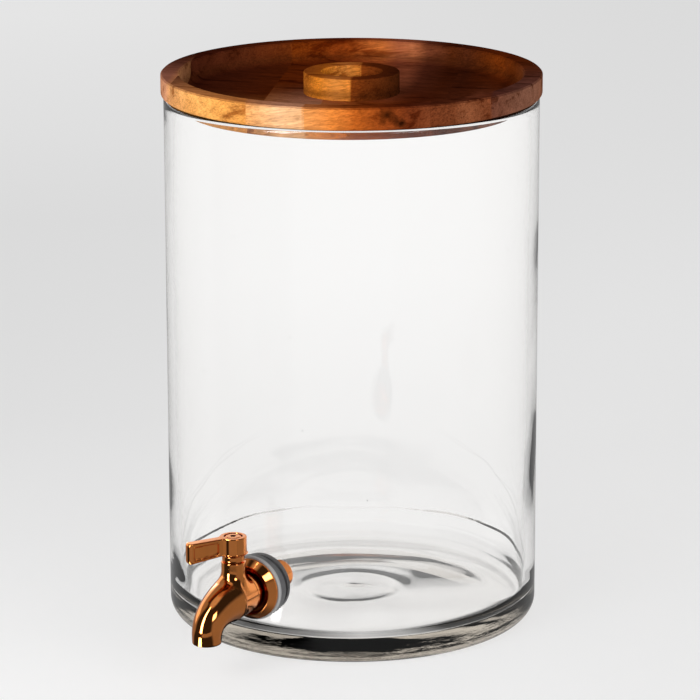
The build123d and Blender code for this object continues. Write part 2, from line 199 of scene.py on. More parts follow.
def glass_material():
    """Clear soda glass with a streaky heel. Lamps shine through it, and long paths through it darken."""
    material, tree, shader, output, place = new_material("clear_glass")
    clean = {"Base Color": (1, 1, 1, 1), "Roughness": 0.0, "IOR": GLASS_IOR, "Transmission Weight": 1.0}
    tree.fill(shader, clean)
    streaks = tree.noise(tree.mapped(place, (1, 1, 10)), scale=55, detail=3, roughness=0.6)
    heel = tree.ramp(tree.math("MULTIPLY", tree.split(place)["Z"], 10.0), STREAK_HEIGHTS)
    off_axis = tree.length(tree.mapped(place, (1, 1, 0)))
    heel = tree.math("MULTIPLY", heel, tree.math("GREATER_THAN", off_axis, STREAK_RADIUS))
    height = tree.math("MULTIPLY", streaks, heel)
    tree.fill(shader, {"Normal": tree.bump(height, strength=0.35, distance=0.0006)})
    clear = tree.add("ShaderNodeBsdfTransparent", {"Color": (*GLASS_SHADE, 1)})
    surface = tree.mix_shader(light_path(tree, "Is Shadow Ray"), shader.outputs[0], clear.outputs[0])
    tinted = {"Color": (*GLASS_TINT, 1), "Density": GLASS_DENSITY}
    absorption = tree.add("ShaderNodeVolumeAbsorption", tinted)
    tree.fill(output, {"Surface": surface, "Volume": absorption.outputs[0]})
    return material


def copper_material():
    """Polished copper plating over a cast and buffed body."""
    material, tree, shader, _, place = new_material("polished_copper")
    cloud = tree.noise(place, scale=90, detail=4, roughness=0.6)
    fine = tree.noise(place, scale=1400, detail=3, roughness=0.6)
    tint = tree.mix(tree.ramp(cloud, [(0.35, 0.0), (0.7, 1.0)]), COPPER, darker(COPPER, 0.88))
    worn = tree.ramp(cloud, [(0.3, COPPER_ROUGHNESS * 0.7), (0.75, COPPER_ROUGHNESS * 1.9)])
    height = tree.math("ADD", tree.math("MULTIPLY", cloud, 0.8), tree.math("MULTIPLY", fine, 0.05))
    tree.fill(shader, {"Base Color": tint, "Metallic": 1.0, "Roughness": worn})
    tree.fill(shader, {"Normal": tree.bump(height, strength=0.10, distance=0.0008)})
    return material


def rubber_material(name, colour, roughness, see_through=0.0):
    """Moulded silicone or rubber with a fine matt skin."""
    material, tree, shader, _, place = new_material(name)
    cloud = tree.noise(place, scale=60, detail=3)
    tint = tree.mix(cloud, darker(colour, 0.86), colour)
    grain = tree.noise(place, scale=2600, detail=2, roughness=0.6)
    skin = tree.ramp(grain, [(0.3, roughness * 0.9), (0.7, roughness * 1.15)])
    relief = tree.bump(grain, strength=0.15, distance=0.0002)
    tree.fill(shader, {"Base Color": tint, "Roughness": skin, "Normal": relief})
    milky = {"Weight": see_through, "Radius": (1, 1, 1), "Scale": 0.002}
    tree.fill(shader, {f"Subsurface {name}": value for name, value in milky.items()})
    return material


def metal_material(name, colour, roughness):
    """Plain turned metal, for the pieces inside the tap."""
    material, tree, shader, _, place = new_material(name)
    grain = tree.noise(tree.mapped(place, (1, 1, 12)), scale=500, detail=3, roughness=0.6)
    tint = tree.mix(grain, darker(colour, 0.85), colour)
    turned = tree.ramp(grain, [(0.3, roughness * 0.8), (0.7, roughness * 1.3)])
    tree.fill(shader, {"Base Color": tint, "Metallic": 1.0, "Roughness": turned})
    return material


def plastic_material(name, colour):
    """Plain moulded plastic, for the valve's seats."""
    material, tree, shader, _, place = new_material(name)
    cloud = tree.noise(place, scale=200, detail=3)
    tint = tree.mix(cloud, darker(colour, 0.93), colour)
    skin = tree.ramp(cloud, [(0.3, PLASTIC_ROUGHNESS * 0.9), (0.7, PLASTIC_ROUGHNESS * 1.1)])
    tree.fill(shader, {"Base Color": tint, "Roughness": skin})
    return material


# The staves' turn from the X axis, and how far the wood's streaks lean
GRAIN_TURN = radians(-113.2)
LEAN = radians(9)
# Painted shade: level faces are darkened by this, standing in for the little light that falls on them
PAINTED_TOP_SHADE = (0.50, 0.40, 0.46)
PORE_TINT = (0.34, 0.24, 0.20)
BAND_SHADES = ((0.36, (0.46, 0.34, 0.26)), (0.46, (0.92, 0.90, 0.88)), (0.60, (1.16, 1.16, 1.16)))
BLOTCH_SHADES = ((0.28, (0.94, 0.91, 0.88)), (0.5, 1.0), (0.72, (1.05, 1.07, 1.09)))
KNOT_SHADES = ((0.15, 0.12), (0.45, 0.45), (1.0, 1.0))
KNOT_WARP = 1.6

# The lid's recess: its painted shade, a dark colour standing in for the shade on its floor, and how much
# of it shows, by height in metres and inside a radius
RECESS_SHADE = (0.050, 0.0115, 0.0030)
RECESS_SHADE_SHARE = 0.99
RECESS_HEIGHTS = ((0.3010, 0.0), (0.3015, 1.0), (0.3030, 1.0), (0.3068, 0.0))
RECESS_RADIUS = 0.0962

# Tones of the staves from the lid's left to its right: (millimetres across the staves, colour). Besides
# the staves' own tones they hold painted light and shade: the front's tones are painted brighter towards
# its left, where the light falls, and the back's tones darker, as the back lies in shade
FRONT_TONES = (
    (-106, (0.60, 0.28, 0.16)),
    (-98, (0.62, 0.28, 0.15)),
    (-94, (0.84, 0.40, 0.15)),
    (-80, (0.90, 0.42, 0.12)),
    (-60, (0.86, 0.38, 0.09)),
    (-45.6, (0.82, 0.34, 0.075)),
    (-44.6, (0.82, 0.37, 0.12)),
    (-26, (0.84, 0.47, 0.24)),
    (-13.6, (0.84, 0.46, 0.22)),
    (-12.6, (0.78, 0.31, 0.09)),
    (2, (0.66, 0.20, 0.035)),
    (14, (0.42, 0.095, 0.012)),
    (28, (0.26, 0.052, 0.008)),
    (42, (0.16, 0.032, 0.008)),
    (53.4, (0.19, 0.048, 0.016)),
    (54.4, (0.14, 0.034, 0.011)),
    (66, (0.15, 0.040, 0.014)),
    (72, (0.27, 0.088, 0.036)),
    (83.2, (0.20, 0.056, 0.021)),
    (84.2, (0.17, 0.058, 0.034)),
    (94, (0.19, 0.076, 0.045)),
    (106, (0.24, 0.105, 0.065)),
)
BACK_TONES = (
    (-96, (0.095, 0.021, 0.009)),
    (-70, (0.13, 0.029, 0.009)),
    (-45.6, (0.18, 0.036, 0.006)),
    (-44.6, (0.26, 0.050, 0.005)),
    (-20, (0.27, 0.048, 0.006)),
    (-12.6, (0.36, 0.070, 0.009)),
    (6, (0.64, 0.18, 0.040)),
    (16, (0.50, 0.15, 0.060)),
    (25, (0.56, 0.18, 0.070)),
    (34, (0.20, 0.056, 0.024)),
    (48, (0.11, 0.024, 0.006)),
    (58, (0.095, 0.022, 0.007)),
    (70, (0.17, 0.034, 0.005)),
    (80, (0.25, 0.048, 0.005)),
    (84.2, (0.16, 0.030, 0.004)),
    (96, (0.18, 0.042, 0.008)),
)
KNOB_TONES = (
    (-27, (0.50, 0.15, 0.020)),
    (-16, (0.74, 0.24, 0.022)),
    (-6, (0.86, 0.32, 0.06)),
    (2.2, (0.80, 0.27, 0.04)),
    (3.2, (0.30, 0.066, 0.009)),
    (10, (0.19, 0.042, 0.007)),
    (27, (0.075, 0.018, 0.005)),
)
LID_REACH = 107.0


def tone_ramp(tree, across, tones):
    """The colour at a place across the staves, in metres."""
    factor = tree.centred(across, 1000 / (2 * LID_REACH))
    return tree.ramp(factor, [(0.5 + place / (2 * LID_REACH), colour) for place, colour in tones])


def stave_colour(tree, along, shifted, tones, turn_at):
    """The staves' colours, drifting a little, from the lid's front tones to its back ones, which are
    darker partly as painted shade.
    """
    parts = tree.split(along)
    drift = tree.noise(shifted, scale=22, detail=2)
    wander = tree.math("MULTIPLY", tree.math("SUBTRACT", drift, 0.5), 0.05)
    across = tree.math("MULTIPLY", parts["Y"], -1.0)
    across = tree.math("ADD", across, tree.math("MULTIPLY", wander, 0.08))
    length = tree.math("SUBTRACT", tree.math("ADD", parts["X"], wander), turn_at)
    to_back = tree.ramp(tree.centred(length, 12.0), [(0.0, 0.0), (1.0, 1.0)], "EASE")
    front, back = (tone_ramp(tree, across, half) for half in tones)
    return tree.mix(to_back, front, back)


def streaks(tree, place, squeeze, scale, detail, roughness, distortion=0.0):
    """Noise drawn out across the staves: the smaller the squeeze, the longer its streaks."""
    return tree.noise(tree.mapped(place, (1, squeeze, 1)), scale, detail, roughness, distortion)


def knot_eye(tree, place, knot):
    """The shade of a ragged dark knot, (x, y, z, size) in metres."""
    x, y, z, size = knot
    warp = tree.add("ShaderNodeTexNoise", {"Vector": place, "Scale": 130}).outputs["Color"]
    scaled = {0: warp, "Scale": size * KNOT_WARP}
    push = tree.add("ShaderNodeVectorMath", scaled, operation="SCALE").outputs[0]
    moved = tree.add("ShaderNodeVectorMath", {0: place, 1: push}, operation="ADD").outputs[0]
    # The noise averages a half, so the knot's middle moves with it
    half = size * KNOT_WARP / 2
    ends = {0: moved, 1: (x + half, y + half, z + half)}
    gap = tree.add("ShaderNodeVectorMath", ends, operation="DISTANCE")
    near = tree.math("DIVIDE", gap.outputs["Value"], size)
    return tree.ramp(near, KNOT_SHADES, "EASE")


def pore_marks(tree, shifted):
    """1 in the wood's open pores, and about half of it in its wider flecks."""
    pores = streaks(tree, shifted, 0.11, scale=1700, detail=2, roughness=0.65)
    flecks = streaks(tree, shifted, 0.25, scale=650, detail=3, roughness=0.7)
    pore_mask = tree.ramp(pores, [(0.30, 1.0), (0.41, 0.0)])
    fleck_mask = tree.ramp(flecks, [(0.34, 1.0), (0.46, 0.0)])
    return tree.math("MAXIMUM", pore_mask, tree.math("MULTIPLY", fleck_mask, 0.55))


def recess_mask(tree, place):
    """1 on the floor of the lid's turned recess, fading up its wall."""
    low = tree.ramp(tree.split(place)["Z"], RECESS_HEIGHTS)
    off_axis = tree.length(tree.mapped(place, (1, 1, 0)))
    return tree.math("MULTIPLY", low, tree.math("LESS_THAN", off_axis, RECESS_RADIUS))


def wood_material(name, tones, seed, speckle, turn_at=0.0, knots=()):
    """Oiled acacia whose streaks lie nearly level and run across the lid's glue lines.

    The tones are those of the lid's front and back, which meet turn_at metres along the staves.
    """
    material, tree, shader, _, place = new_material(name)
    along = tree.mapped(place, turn=(0, 0, GRAIN_TURN))
    leaning = tree.mapped(along, turn=(LEAN, 0, LEAN))
    shifted = tree.mapped(leaning, shift=(seed * 0.37, seed * 0.11, seed * 0.23))
    broad = streaks(tree, shifted, 0.16, scale=60, detail=3, roughness=0.55, distortion=1.2)
    bands = streaks(tree, shifted, 0.07, scale=230, detail=4, roughness=0.6, distortion=0.5)
    hairs = streaks(tree, shifted, 0.035, scale=1300, detail=3, roughness=0.6)
    blotch = tree.noise(shifted, scale=70, detail=4, roughness=0.65, distortion=0.6)

    tone = tree.math("ADD", tree.math("MULTIPLY", broad, 0.6), tree.math("MULTIPLY", bands, 0.4))
    shade = tree.ramp(tone, BAND_SHADES, "EASE")
    fibre = tree.ramp(hairs, [(0.3, 0.66), (0.7, 1.24)])
    colour = tree.multiplied(stave_colour(tree, along, shifted, tones, turn_at), shade)
    colour = tree.multiplied(colour, tree.ramp(blotch, BLOTCH_SHADES, "EASE"))
    colour = tree.multiplied(colour, fibre)
    for knot in knots:
        colour = tree.multiplied(colour, knot_eye(tree, place, knot))
    marks = pore_marks(tree, shifted)
    marked = tree.multiplied(colour, PORE_TINT)
    colour = tree.mix(tree.math("MULTIPLY", marks, speckle), colour, marked)

    # Painted shade: level faces are darkened, and the floor of the turned recess is painted dark,
    # standing in for the shade they lie in
    normal = tree.split(tree.add("ShaderNodeTexCoord").outputs["Normal"])
    level = tree.ramp(normal["Z"], [(0.35, 0.0), (0.95, 1.0)])
    colour = tree.mix(level, colour, tree.multiplied(colour, PAINTED_TOP_SHADE))
    recess_shade = tree.multiplied(tree.multiplied(shade, fibre), RECESS_SHADE)
    recess = tree.math("MULTIPLY", recess_mask(tree, place), RECESS_SHADE_SHARE)
    colour = tree.mix(recess, colour, recess_shade)
    worn = tree.ramp(bands, [(0.3, 0.36), (0.7, 0.50)])
    tree.fill(shader, {"Base Color": colour, "Roughness": worn, "Specular IOR Level": 0.0})
    raised = tree.math("ADD", bands, tree.math("MULTIPLY", hairs, 0.3))
    height = tree.math("SUBTRACT", raised, tree.math("MULTIPLY", marks, 0.6))
    tree.fill(shader, {"Normal": tree.bump(height, strength=0.30, distance=0.0003)})
    return material


# --- Meshes ---


def new_object(name, mesh, material, body, smooth_angle):
    """A piece that rides on a body, smooth up to an angle in degrees."""
    piece = bpy.data.objects.new(name, mesh)
    bpy.context.scene.collection.objects.link(piece)
    mesh.materials.clear()
    mesh.materials.append(material)
    mesh.shade_smooth()
    mesh.set_sharp_from_angle(angle=radians(smooth_angle))
    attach(piece, body)
    return piece


def arc(centre, radius, start, end, count):
    """Points (r, z) along an arc, its angles in degrees."""
    steps = [radians(start + (end - start) * i / count) for i in range(count + 1)]
    return [(centre[0] + radius * cos(t), centre[1] + radius * sin(t)) for t in steps]


def line(start, end, count):
    """Points (r, z) along a straight line, without its end."""
    steps = [i / count for i in range(count)]
    return [tuple(a + (b - a) * t for a, b in zip(start, end)) for t in steps]


def smooth_step(value, low, high):
    """0 below low, 1 above high, and eased between them."""
    t = min(max((value - low) / (high - low), 0.0), 1.0)
    return t * t * (3 - 2 * t)


def lathe(profile, segments, place):
    """A closed surface of revolution. place moves each point (angle, r, z); both ends are on the axis."""
    vertices, faces = [], []
    rings = profile[1:-1]
    for r, z in rings:
        for i in range(segments):
            vertices.append(place(tau * i / segments, r, z))
    for j in range(len(rings) - 1):
        for i in range(segments):
            k = (i + 1) % segments
            low, high = j * segments, (j + 1) * segments
            faces.append((low + i, low + k, high + k, high + i))
    for end, ring, turn in ((profile[0], 0, 1), (profile[-1], (len(rings) - 1) * segments, -1)):
        pole = len(vertices)
        vertices.append(place(0.0, *end))
        for i in range(segments):
            corners = (pole, ring + (i + 1) % segments, ring + i)
            faces.append(corners[::turn])
    mesh = bpy.data.meshes.new("lathe")
    mesh.from_pydata(vertices, [], faces)
    return mesh


# Jar sizes, in metres, from the CAD node's box and the design
jar_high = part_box("glass_jar")[1]
JAR_RADIUS = jar_high.x
JAR_HEIGHT = jar_high.z
WALL = 5 * MM
HEEL = 10 * MM
FLOOR = 13 * MM
FLOOR_CROWN = 1.8 * MM
FLOOR_FILLET = 11 * MM
FOOT_RADIUS = 78 * MM
KICK_UP = 4 * MM
TAP_HEIGHT = TAP_AXIS * MM
HOLE_RADIUS = 8.4 * MM
JAR_SEGMENTS = 264
# The inside's mesh is finer below this height
FINE_TOP = 35 * MM

# The wall is as designed within the first distance of the tap, and as blown beyond the second
TAP_CLAMP = (20 * MM, 45 * MM)
# Where the wall's unevenness starts and ends, and the floor's ends, by radius and by height
WALL_FADE = (70 * MM, 95 * MM)
FLOOR_FADE = (70 * MM, 96 * MM)
RIM_FADE = (JAR_HEIGHT - 16 * MM, JAR_HEIGHT - 4 * MM)
FLOOR_TOP = FLOOR + 8 * MM
# Waves of the wall's inside and outside, as (depth, seed, height, width)
INSIDE_WAVES = ((0.42 * MM, 3.1, 85 * MM, 60 * MM), (0.10 * MM, 7.7, 30 * MM, 26 * MM))
OUTSIDE_WAVES = ((0.10 * MM, 1.3, 120 * MM, 70 * MM), (0.05 * MM, 9.9, 26 * MM, 30 * MM))
# A bulge round the inside above the floor, whose depth varies round the jar
BULGE_HEIGHT = 24 * MM
BULGE_REACH = 10 * MM
BULGE_DEPTH = 1.3 * MM
BULGE_WIDTH = 55 * MM
# The crease above the floor, where the wall thickens inwards by a step
SHOULDER = 30 * MM
SHOULDER_STEP = 1.7 * MM
CREASE_WANDER = 2.2 * MM
CREASE_WIDTH = 60 * MM
CREASE_HALF = 0.3 * MM
# The floor's slow swirl, its ripples round the middle, and the ring moulded under the foot
SWIRL_DEPTH = 1.1 * MM
SWIRL_SIZE = 55 * MM
RIPPLE_DEPTH = 0.12 * MM
RIPPLE_LENGTH = 24 * MM
RIPPLE_REACH = 52 * MM
FOOT_RING_RADIUS = 28 * MM
FOOT_RING_WIDTH = 5 * MM
FOOT_RING_HEIGHT = 0.5 * MM
# Seeds in the glass: how many, with the ranges of their depth in the wall and of their radius
BUBBLES = 16
BUBBLE_DEPTHS = (1.6 * MM, 3.4 * MM)
BUBBLE_RADII = (0.16 * MM, 0.34 * MM)


def glass_wave(angle, z, seed, tall, wide):
    """Slow unevenness of a blown wall, from -1 to 1, with waves of about these sizes in metres."""
    x, y = JAR_RADIUS * cos(angle) / wide, JAR_RADIUS * sin(angle) / wide
    return noise.noise((x + seed, y - seed, z / tall + seed))


def near_tap(angle, z):
    """1 where the tap's washers clamp the wall, falling to 0 away from them."""
    across = JAR_RADIUS * (((angle + pi / 2 + pi) % tau) - pi)
    return 1 - smooth_step(hypot(across, z - TAP_HEIGHT), *TAP_CLAMP)


def floor_shoulder(angle, z):
    """How far the wall thickens inwards above the floor, under a crease that wanders up and down."""
    wave = glass_wave(angle, 0, seed=2.6, tall=1, wide=CREASE_WIDTH)
    crease = SHOULDER + CREASE_WANDER * wave
    step = SHOULDER_STEP * (1 - smooth_step(z, crease - CREASE_HALF, crease + CREASE_HALF))
    behind = smooth_step(sin(angle - VIEW_AZIMUTH), -0.25, 0.10)
    return step * behind * smooth_step(z, FLOOR + 1 * MM, FLOOR + 6 * MM)


def jar_place(angle, r, z, inside):
    """A point of the jar's surface with the unevenness of blown glass."""
    wall = smooth_step(r, *WALL_FADE) * (1 - near_tap(angle, z))
    top = 1 - smooth_step(z, *RIM_FADE)
    push = 0.0
    if inside:
        for depth, seed, tall, wide in INSIDE_WAVES:
            push += depth * glass_wave(angle, z, seed, tall, wide)
        bulge = BULGE_DEPTH * glass_wave(angle, 0, seed=5.3, tall=1, wide=BULGE_WIDTH)
        push += bulge * exp(-((z - BULGE_HEIGHT) / BULGE_REACH) ** 2)
        push -= floor_shoulder(angle, z)
    else:
        for depth, seed, tall, wide in OUTSIDE_WAVES:
            push -= depth * abs(glass_wave(angle, z, seed, tall, wide))
    r += push * wall * top
    floor = 1 - smooth_step(r, *FLOOR_FADE)
    if inside and z < FLOOR_TOP:
        ripple = RIPPLE_DEPTH * cos(tau * r / RIPPLE_LENGTH) * exp(-((r / RIPPLE_REACH) ** 2))
        spot = (r * cos(angle) / SWIRL_SIZE, r * sin(angle) / SWIRL_SIZE, 4.2)
        swirl = SWIRL_DEPTH * noise.noise(spot)
        z += (ripple + swirl) * floor
    if not inside and z < HEEL:
        ring = FOOT_RING_HEIGHT * exp(-(((r - FOOT_RING_RADIUS) / FOOT_RING_WIDTH) ** 2))
        z += ring * floor
    return (r * cos(angle), r * sin(angle), z)


def jar_profile():
    """The jar's section from the middle of its foot, as its outside and then its inside."""
    heel_centre = (JAR_RADIUS - HEEL, HEEL)
    rim_centre = (JAR_RADIUS - WALL / 2, JAR_HEIGHT - WALL / 2)
    inner = JAR_RADIUS - WALL
    dome_steps = 30
    dome = [
        (FOOT_RADIUS * i / dome_steps, KICK_UP * (1 - (i / dome_steps) ** 2))
        for i in range(dome_steps)
    ]
    outside = (
        dome
        + line((FOOT_RADIUS, 0), (JAR_RADIUS - HEEL, 0), count=6)
        + arc(heel_centre, HEEL, -90, 0, count=16)[:-1]
        + line((JAR_RADIUS, HEEL), (JAR_RADIUS, rim_centre[1]), count=70)
        + arc(rim_centre, WALL / 2, 0, 90, count=8)[:-1]
    )
    fillet = (inner - FLOOR_FILLET, FLOOR + FLOOR_FILLET)
    inside = (
        arc(rim_centre, WALL / 2, 90, 180, count=8)[:-1]
        + line((inner, rim_centre[1]), (inner, FINE_TOP), count=76)
        + line((inner, FINE_TOP), (inner, fillet[1]), count=56)
        + arc(fillet, FLOOR_FILLET, 0, -90, count=18)[:-1]
        + line((fillet[0], FLOOR), (0, FLOOR + FLOOR_CROWN), count=52)
        + [(0, FLOOR + FLOOR_CROWN)]
    )
    return outside, inside


def bubble(centre, radius, stretch):
    """A small void in the glass, its faces towards the air inside it."""
    bm = bmesh.new()
    bmesh.ops.create_icosphere(bm, subdivisions=2, radius=radius)
    bmesh.ops.scale(bm, vec=(1, 1, stretch), verts=bm.verts)
    bmesh.ops.translate(bm, vec=centre, verts=bm.verts)
    bmesh.ops.reverse_faces(bm, faces=bm.faces)
    return bm


def build_jar(material):
    """The glass: a lathed wall with blown unevenness, the tap's hole and a few seeds."""
    outside, inside = jar_profile()
    on_inside = {point: False for point in outside} | {point: True for point in inside}
    mesh = lathe(
        outside + inside,
        JAR_SEGMENTS,
        lambda angle, r, z: jar_place(angle, r, z, on_inside[(r, z)]),
    )
    jar = bpy.data.objects.new("jar_raw", mesh)
    bpy.context.scene.collection.objects.link(jar)

    bpy.ops.mesh.primitive_cylinder_add(
        vertices=64, radius=HOLE_RADIUS, depth=20 * MM, rotation=(pi / 2, 0, 0)
    )
    drill = bpy.context.object
    drill.location = (0, -JAR_RADIUS, TAP_HEIGHT)
    bpy.context.view_layer.update()
    hole = jar.modifiers.new("hole", "BOOLEAN")
    hole.object = drill
    hole.solver = "EXACT"
    bpy.context.view_layer.update()
    evaluated = jar.evaluated_get(bpy.context.evaluated_depsgraph_get())
    finished = bpy.data.meshes.new_from_object(evaluated)
    bpy.data.objects.remove(jar)
    bpy.data.objects.remove(drill)

    bm = bmesh.new()
    bm.from_mesh(finished)
    chance = random.Random(41)
    for _ in range(BUBBLES):
        angle = chance.uniform(0, tau)
        z = chance.uniform(20 * MM, JAR_HEIGHT - 30 * MM)
        r = JAR_RADIUS - chance.uniform(*BUBBLE_DEPTHS)
        radius = chance.uniform(*BUBBLE_RADII)
        stretch = chance.uniform(1.0, 1.7)
        small = bubble((r * cos(angle), r * sin(angle), z), radius, stretch)
        scratch = bpy.data.meshes.new("bubble")
        small.to_mesh(scratch)
        small.free()
        bm.from_mesh(scratch)
        bpy.data.meshes.remove(scratch)
    bm.to_mesh(finished)
    bm.free()
    finished.name = "glass_jar_blown"
    piece = new_object("glass_jar_blown", finished, material, "jar", smooth_angle=40)
    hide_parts("glass_jar")


# --- Cast pieces, as blended distance fields in millimetres ---

SETTLE_STEPS = 4
BODY_CELL = 0.45
LEVER_CELL = 0.36


def blend(a, b, reach):
    """The union of two distance fields, with a fillet of about this reach between them."""
    share = np.clip(0.5 + 0.5 * (b - a) / reach, 0.0, 1.0)
    return b * (1 - share) + a * share - reach * share * (1 - share)


def keep(a, b, edge):
    """What two distance fields share, with its edges eased."""
    return -blend(-a, -b, edge)


def cut(a, b, edge):
    """The first distance field without the second, with its edges eased."""
    return keep(a, -b, edge)


def along_path(points, path, radii):
    """The distance to a round tube through path, whose radius varies along it."""
    best = np.full(len(points), 1e6)
    for start, end, low, high in zip(path[:-1], path[1:], radii[:-1], radii[1:]):
        step = end - start
        share = np.clip((points - start) @ step / (step @ step), 0.0, 1.0)
        gap = np.linalg.norm(points - start - share[:, None] * step, axis=1)
        best = np.minimum(best, gap - low - share * (high - low))
    return best


def round_bar(across, length, radius, low, high, edge=0.02):
    """The distance to a cylinder, from the distance off its axis and the place along it."""
    return keep(across - radius, np.maximum(low - length, length - high), edge)


def settled(vertices, field, cell):
    """The vertices moved onto the surface where field is zero, down its slope."""
    nudge = 0.02
    for _ in range(SETTLE_STEPS):
        slope = np.stack(
            [field(vertices + nudge * axis) - field(vertices - nudge * axis) for axis in np.eye(3)], 1
        ) / (2 * nudge)
        size = np.maximum((slope**2).sum(1), 0.25)
        move = field(vertices)[:, None] * slope / size[:, None]
        vertices = vertices - np.clip(move, -cell / 2, cell / 2)
    return vertices


def mesh_field(name, field, low, high, cell):
    """A closed quad mesh of the surface where field is zero, inside a box in millimetres."""
    low, high = np.array(low, float), np.array(high, float)
    count = np.ceil((high - low) / cell).astype(int) + 1
    axes = [low[i] + cell * np.arange(count[i]) for i in range(3)]
    grid = np.stack(np.meshgrid(*axes, indexing="ij"), -1)
    value = field(grid.reshape(-1, 3)).reshape(count)
    inside = value < 0

    shape = tuple(count - 1)
    total, crossings = np.zeros(shape + (3,)), np.zeros(shape)
    for axis in range(3):
        others = [i for i in range(3) if i != axis]
        for corner in ((0, 0), (0, 1), (1, 0), (1, 1)):
            pick = [slice(None)] * 3
            pick[others[0]] = slice(corner[0], corner[0] + shape[others[0]])
            pick[others[1]] = slice(corner[1], corner[1] + shape[others[1]])
            first, second = list(pick), list(pick)
            first[axis], second[axis] = slice(0, shape[axis]), slice(1, shape[axis] + 1)
            f0, f1 = value[tuple(first)], value[tuple(second)]
            crossing = (f0 < 0) != (f1 < 0)
            share = np.where(crossing, f0 / np.where(crossing, f0 - f1, 1.0), 0.0)
            point = grid[tuple(first)].copy()
            point[..., axis] += share * cell
            total += point * crossing[..., None]
            crossings += crossing
    mixed = crossings > 0
    vertices = total[mixed] / crossings[mixed][:, None]
    number = np.full(shape, -1)
    number[mixed] = np.arange(len(vertices))

    faces = []
    for axis in range(3):
        u, v = (axis + 1) % 3, (axis + 2) % 3
        near = np.moveaxis(inside, (axis, u, v), (0, 1, 2))
        cells = np.moveaxis(number, (axis, u, v), (0, 1, 2))
        a, b = near[:-1, 1:-1, 1:-1], near[1:, 1:-1, 1:-1]
        around = (cells[:, :-1, :-1], cells[:, 1:, :-1], cells[:, 1:, 1:], cells[:, :-1, 1:])
        for mask, order in ((a & ~b, (0, 1, 2, 3)), (~a & b, (3, 2, 1, 0))):
            faces.append(np.stack([around[i][mask] for i in order], 1))
    faces = np.concatenate(faces)

    mesh = bpy.data.meshes.new(name)
    mesh.from_pydata((settled(vertices, field, cell) * MM).tolist(), [], faces.tolist())
    return mesh


# The tap's sizes, in millimetres
TAIL_JOINT, TAIL_JOINT_RADIUS = 121.5, 11.6
BODY_FRONT, BODY_FRONT_RADIUS = 134.0, 11.7
OUTLET_HEIGHT = 24.7
SPOUT_ROOT, SPOUT_TIP, SPOUT_TAPER = 12.1, 8.0, 1.6
SPOUT_BEND = np.array([(0, -134, 42.8), (0, -146.5, 41.8), (0, -156.5, 38.2), (0, -156.8, 28.7)])
SPOUT_STEPS = 41
SPOUT_RUN_OUT = 10.0
PASSAGE_RADIUS = 5.2
NECK_RADIUS, NECK_TOP = 6.75, 63.8
NECK_BLEND = 5.0
RUNNING_GAP = 0.06
# How far bores run past the faces they open in, and joined shapes into each other
CUT_MARGIN = 1.0
OPEN_TOP = 80.0
COLLAR_SOCKET_RADIUS, COLLAR_SOCKET_END = 9.25, 124.8
CHAMBER_RADIUS, CHAMBER_END = 7.6, 137.2
SHOULDER_BORE_RADIUS, SHOULDER_BORE_TOP = 5.4, 54.65
STEM_RADIUS = 4.0
# The lever's stop, a tab on the neck's top, with its middle and half its width in degrees
STOP_INNER, STOP_OUTER, STOP_HEIGHT = 5.1, 6.25, 3.1
STOP_MIDDLE, STOP_HALF = 90, 15


def spout_line():
    """Points down the middle of the spout, and its radius at each."""
    shares = np.linspace(0, 1, SPOUT_STEPS)[:, None]
    p0, p1, p2, p3 = SPOUT_BEND
    rest = 1 - shares
    bend = rest**3 * p0 + 3 * rest**2 * shares * p1 + 3 * rest * shares**2 * p2 + shares**3 * p3
    points = np.vstack([bend, [(0, SPOUT_BEND[3][1], OUTLET_HEIGHT)]])
    gone = np.concatenate([[0], np.cumsum(np.linalg.norm(np.diff(points, axis=0), axis=1))])
    radii = SPOUT_TIP + (SPOUT_ROOT - SPOUT_TIP) * (1 - gone / gone[-1]) ** SPOUT_TAPER
    points = np.vstack([points, [(0, SPOUT_BEND[3][1], SPOUT_RUN_OUT)]])
    return points, np.append(radii, SPOUT_TIP)


SPOUT_POINTS, SPOUT_RADII = spout_line()


def off_tap(points):
    """The distance from the tap's level axis."""
    return np.hypot(points[:, 0], points[:, 2] - TAP_AXIS)


def off_hub(points):
    """The distance from the axis that the lever turns on."""
    return np.hypot(points[:, 0], points[:, 1] + HUB_REACH)


def ring_sector(points, inner, outer, low, high, middle, half_arc):
    """The distance to part of a ring round the hub, its middle at an angle from +X in degrees."""
    turn = radians(middle)
    x, y = points[:, 0], points[:, 1] + HUB_REACH
    ahead = x * cos(turn) + y * sin(turn)
    aside = -x * sin(turn) + y * cos(turn)
    around = (np.abs(np.arctan2(aside, ahead)) - radians(half_arc)) * np.hypot(x, y)
    across = np.maximum(off_hub(points) - outer, inner - off_hub(points))
    level = np.maximum(points[:, 2] - high, low - points[:, 2])
    return keep(keep(around, across, edge=0.1), level, edge=0.1)


